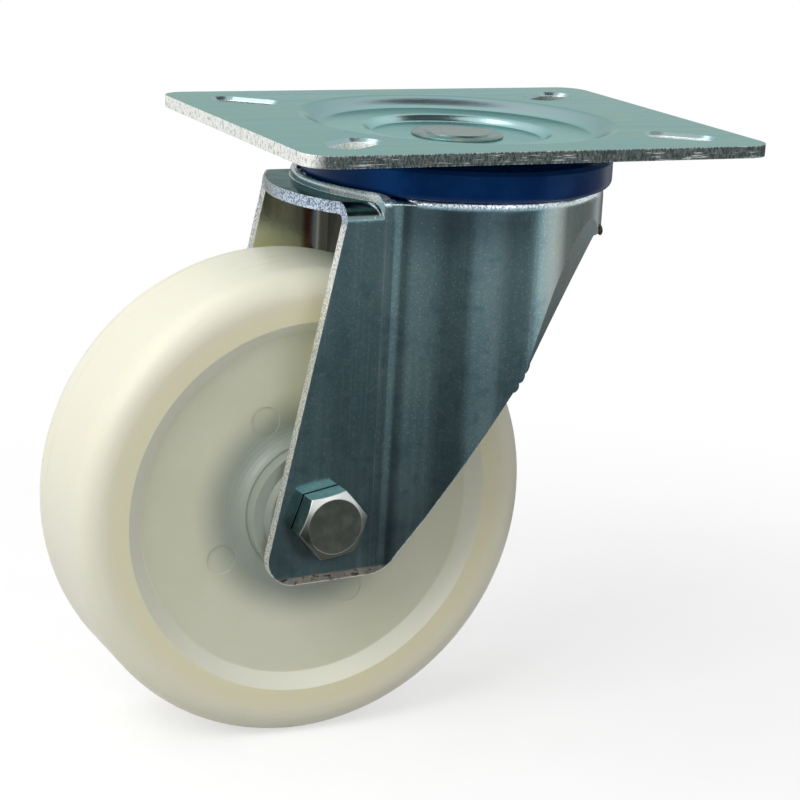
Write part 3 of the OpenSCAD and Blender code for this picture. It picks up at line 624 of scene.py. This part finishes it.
# %% [markdown]
# Where the front wall was trimmed, the tool left a small dark burr at the lower corner on the near
# side. It is a ball, squeezed into a grain and pushed half into the steel, and it turns with the
# fork. The helper that puts a mesh in the scene is used again for the floor and the screens.

# %% Burr at the trimmed corner
def new_piece(name, mesh, finish):
    data = bpy.data.meshes.new(name)
    mesh.to_mesh(data)
    mesh.free()
    data.materials.append(finish)
    piece = bpy.data.objects.new(name, data)
    bpy.context.scene.collection.objects.link(piece)
    return piece


BURR_R, BURR_SHAPE = 1.0 * MM, (1.1, 0.9, 2.1)
BURR_PLACE = Vector((39.7, -31.0, -33.4)) * MM
burr_turn = Matrix.Rotation(math.radians(-14), 3, "Y")
soot, tree, shader = new_finish("burr_soot")
grains = spots(tree, object_place(tree), 1500.0, 3.0, 0.6)
sooty = blend(tree, soft_step(tree, grains, 0.4, 0.7), (0.02, 0.02, 0.02), (0.16, 0.16, 0.15))
tree.links.new(sooty, shader.inputs["Base Color"])
shader.inputs["Metallic"].default_value = 0.6
shader.inputs["Roughness"].default_value = 0.5
bumped(tree, shader, grains, 0.6, 0.4 * MM)

burr = bmesh.new()
bmesh.ops.create_icosphere(burr, subdivisions=3, radius=BURR_R)
bmesh.ops.scale(burr, verts=burr.verts, vec=BURR_SHAPE)
bmesh.ops.rotate(burr, verts=burr.verts, cent=(0, 0, 0), matrix=burr_turn)
bmesh.ops.translate(burr, verts=burr.verts, vec=BURR_PLACE)
bmesh.ops.recalc_face_normals(burr, faces=burr.faces)
trim_burr = new_piece("trim_burr", burr, soot)
trim_burr.data.shade_smooth()
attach(trim_burr, "swivel_fork")
print("burr with", len(trim_burr.data.polygons), "faces")

# %% [markdown]
# The floor is one large plane at the wheel's lowest point. To the camera it should melt into a
# white background, but it must keep the soft shadow under the wheel. So its pale paper gets a
# little light of its own, seen only by the camera and by mirror-like surfaces, and far away from
# the castor it fades to pure white.

# %% Floor
def seen_directly(tree):
    rays = add_node(tree, "ShaderNodeLightPath").outputs
    mirrored = sums(tree, "MAXIMUM", rays["Is Glossy Ray"], rays["Is Transmission Ray"])
    return sums(tree, "MAXIMUM", rays["Is Camera Ray"], mirrored)


def join_shaders(tree, joint, first, second):
    tree.links.new(first.outputs[0], joint.inputs[-2])
    tree.links.new(second.outputs[0], joint.inputs[-1])
    return joint


FLOOR_SIZE, FADE_START, FADE_END = 6.0, 0.10, 0.42
floor_z = solid_box[0][2]
paper, tree, shader = new_finish("studio_paper")
seen = seen_directly(tree)
place = object_place(tree)
fibre = soft_step(tree, spots(tree, place, 40.0), 0.2, 0.8)
tree.links.new(blend(tree, fibre, (0.50, 0.50, 0.50), (0.52, 0.52, 0.52)), shader.inputs["Base Color"])
shader.inputs["Roughness"].default_value = 0.9
shader.inputs["Specular IOR Level"].default_value = 0.1
glow = add_node(tree, "ShaderNodeEmission")
tree.links.new(times(tree, seen, 0.6), glow.inputs["Strength"])
lit = join_shaders(tree, add_node(tree, "ShaderNodeAddShader"), shader, glow)
white = add_node(tree, "ShaderNodeEmission")
fade = join_shaders(tree, add_node(tree, "ShaderNodeMixShader"), lit, white)
away = length(tree, stretched(tree, place, (1, 1, 0)))
tree.links.new(times(tree, seen, soft_step(tree, away, FADE_START, FADE_END)), fade.inputs[0])
tree.links.new(fade.outputs[0], tree.nodes["Material Output"].inputs["Surface"])

ground = bmesh.new()
bmesh.ops.create_grid(ground, x_segments=1, y_segments=1, size=FLOOR_SIZE)
bmesh.ops.translate(ground, verts=ground.verts, vec=(0, 0, floor_z))
floor = new_piece("studio_floor", ground, paper)
print("floor at z", round(floor_z, 4))

# %% [markdown]
# The light is a plain studio. The sky is even and pale. It is pure white where the camera and the
# shiny metal see it, and dimmer where it lights the castor, so nothing is washed out.

# %% Sky
SKY_LIGHT = 0.37
world = bpy.data.worlds.new("studio_sky")
bpy.context.scene.world = world
world.use_nodes = True
tree = world.node_tree
sky = tree.nodes["Background"]
white = add_node(tree, "ShaderNodeBackground")
for background, strength in ((sky, SKY_LIGHT), (white, 1.0)):
    background.inputs["Color"].default_value = (1, 1, 1, 1)
    background.inputs["Strength"].default_value = strength
mix = join_shaders(tree, add_node(tree, "ShaderNodeMixShader"), sky, white)
tree.links.new(seen_directly(tree), mix.inputs[0])
tree.links.new(mix.outputs[0], tree.nodes["World Output"].inputs["Surface"])
print("sky lights with", SKY_LIGHT)

# %% [markdown]
# Three soft lamps shape the castor: a large one from the upper left, a weaker one high up behind it
# and a faint one in front. Each is turned to the castor's middle.

# %% Lamps
def soft_lamp(name, spot, aim, size, watts):
    lamp_data = bpy.data.lights.new(name, "AREA")
    lamp_data.shape = "SQUARE"
    lamp_data.size = size
    lamp_data.energy = watts
    lamp = bpy.data.objects.new(name, lamp_data)
    bpy.context.scene.collection.objects.link(lamp)
    lamp.location = spot
    lamp.rotation_euler = (Vector(aim) - Vector(spot)).to_track_quat("-Z", "Y").to_euler()
    print(name, watts, "W")


castor_middle = (-0.03, 0, -0.1)
soft_lamp("key_lamp", (-1.0, -0.48, 0.78), castor_middle, 0.9, 10.0)
soft_lamp("top_lamp", (-0.55, 0.35, 1.0), castor_middle, 0.7, 2.6)
soft_lamp("front_lamp", (0.3, -1.4, 0.7), castor_middle, 0.8, 1.0)

# %% [markdown]
# Shiny metal needs something dark to reflect, or it looks like paper. Photographers stand grey
# screens round the set and hang a black cloth above it. Here they are seen only in reflections:
# they cast no shadow and the camera looks through them. The cloth above is the simpler one.

# %% Overhead cloth
def screen(name, mesh, finish):
    card = new_piece(name, mesh, finish)
    card.visible_camera = False
    card.visible_diffuse = False
    card.visible_transmission = False
    card.visible_shadow = False
    print(name, "with", len(card.data.polygons), "faces, seen only in reflections")


def glowing_cloth(name, tone_of):
    cloth, tree, shader = new_finish(name)
    shader.inputs["Base Color"].default_value = (0, 0, 0, 1)
    shader.inputs["Specular IOR Level"].default_value = 0.0
    tree.links.new(tone_of(tree), shader.inputs["Emission Color"])
    shader.inputs["Emission Strength"].default_value = 1.0
    return cloth


def dark_folds(tree):
    return blend(tree, spots(tree, object_place(tree), 6.0), (0.03, 0.03, 0.035), (0.12, 0.12, 0.13))


flag = bmesh.new()
bmesh.ops.create_grid(flag, x_segments=1, y_segments=1, size=0.4)
bmesh.ops.translate(flag, verts=flag.verts, vec=(0.45, 0.15, 1.1))
screen("overhead_flag", flag, glowing_cloth("flag_cloth", dark_folds))

# %% [markdown]
# The standing screen is a short profile, a strip on the floor and an upright one, spun most of the
# way round the castor, with a bright gap left over. Its greys change with the heading, in degrees
# round the swivel axis, so every bend of the fork picks up its own light and dark bands. Near the
# floor and near the castor the screen is dimmer.

# %% Standing screen
SCREEN_IN, SCREEN_OUT, SCREEN_TOP = 0.15, 0.5, -0.01
DIM_HEIGHT = 0.06
SCREEN_START, SCREEN_ANGLE, SCREEN_STEPS = math.radians(10), math.radians(280), 70
SCREEN_GREYS = [
    (-168, 0.90), (-150, 0.32), (-132, 0.30), (-118, 0.16), (-106, 0.16), (-96, 0.42), (-84, 0.42),
    (-74, 0.22), (-56, 0.24), (-46, 0.95), (-34, 0.95), (-24, 0.26), (8, 0.26), (24, 0.70),
    (37, 0.24), (60, 0.20), (80, 0.45), (100, 0.25),
]


def heading_greys(tree):
    place = object_place(tree)
    heading = add_node(tree, "ShaderNodeTexGradient", gradient_type="RADIAL")
    tree.links.new(place, heading.inputs["Vector"])
    ramp = add_node(tree, "ShaderNodeValToRGB")
    ramp.color_ramp.interpolation = "EASE"
    tree.links.new(heading.outputs["Fac"], ramp.inputs["Fac"])
    stops = ramp.color_ramp.elements
    while len(stops) < len(SCREEN_GREYS):
        stops.new(0.5)
    for stop, (angle, grey) in zip(stops, SCREEN_GREYS):
        stop.position = angle / 360 + 0.5
        stop.color = (grey, grey, grey, 1)
    where = add_node(tree, "ShaderNodeSeparateXYZ")
    tree.links.new(place, where.inputs[0])
    flat = length(tree, stretched(tree, place, (1, 1, 0)))
    level = times(tree, soft_step(tree, where.outputs["Z"], floor_z, floor_z + DIM_HEIGHT, 0.63, 1.0),
                  soft_step(tree, flat, SCREEN_OUT / 2, SCREEN_OUT, 0.65, 1.0))
    return blend(tree, level, (0, 0, 0), ramp.outputs["Color"])


ring = bmesh.new()
profile = [ring.verts.new((-r, 0, z)) for r, z in (
    (SCREEN_IN, floor_z + MM), (SCREEN_OUT, floor_z + MM), (SCREEN_OUT, SCREEN_TOP))]
profile += [ring.edges.new(pair) for pair in zip(profile, profile[1:])]
start = Matrix.Rotation(SCREEN_START, 3, "Z")
bmesh.ops.rotate(ring, verts=ring.verts, cent=(0, 0, 0), matrix=start)
bmesh.ops.spin(ring, geom=profile, cent=(0, 0, 0), axis=(0, 0, 1), angle=SCREEN_ANGLE, steps=SCREEN_STEPS)
screen("grey_screen", ring, glowing_cloth("screen_cloth", heading_greys))

# %% [markdown]
# Last, the view is set to plain colours, and the solids' box from the start is printed.

# %% Finish
bpy.context.scene.view_settings.view_transform = "Standard"
print("solid box", [[round(v, 4) for v in c] for c in solid_box])
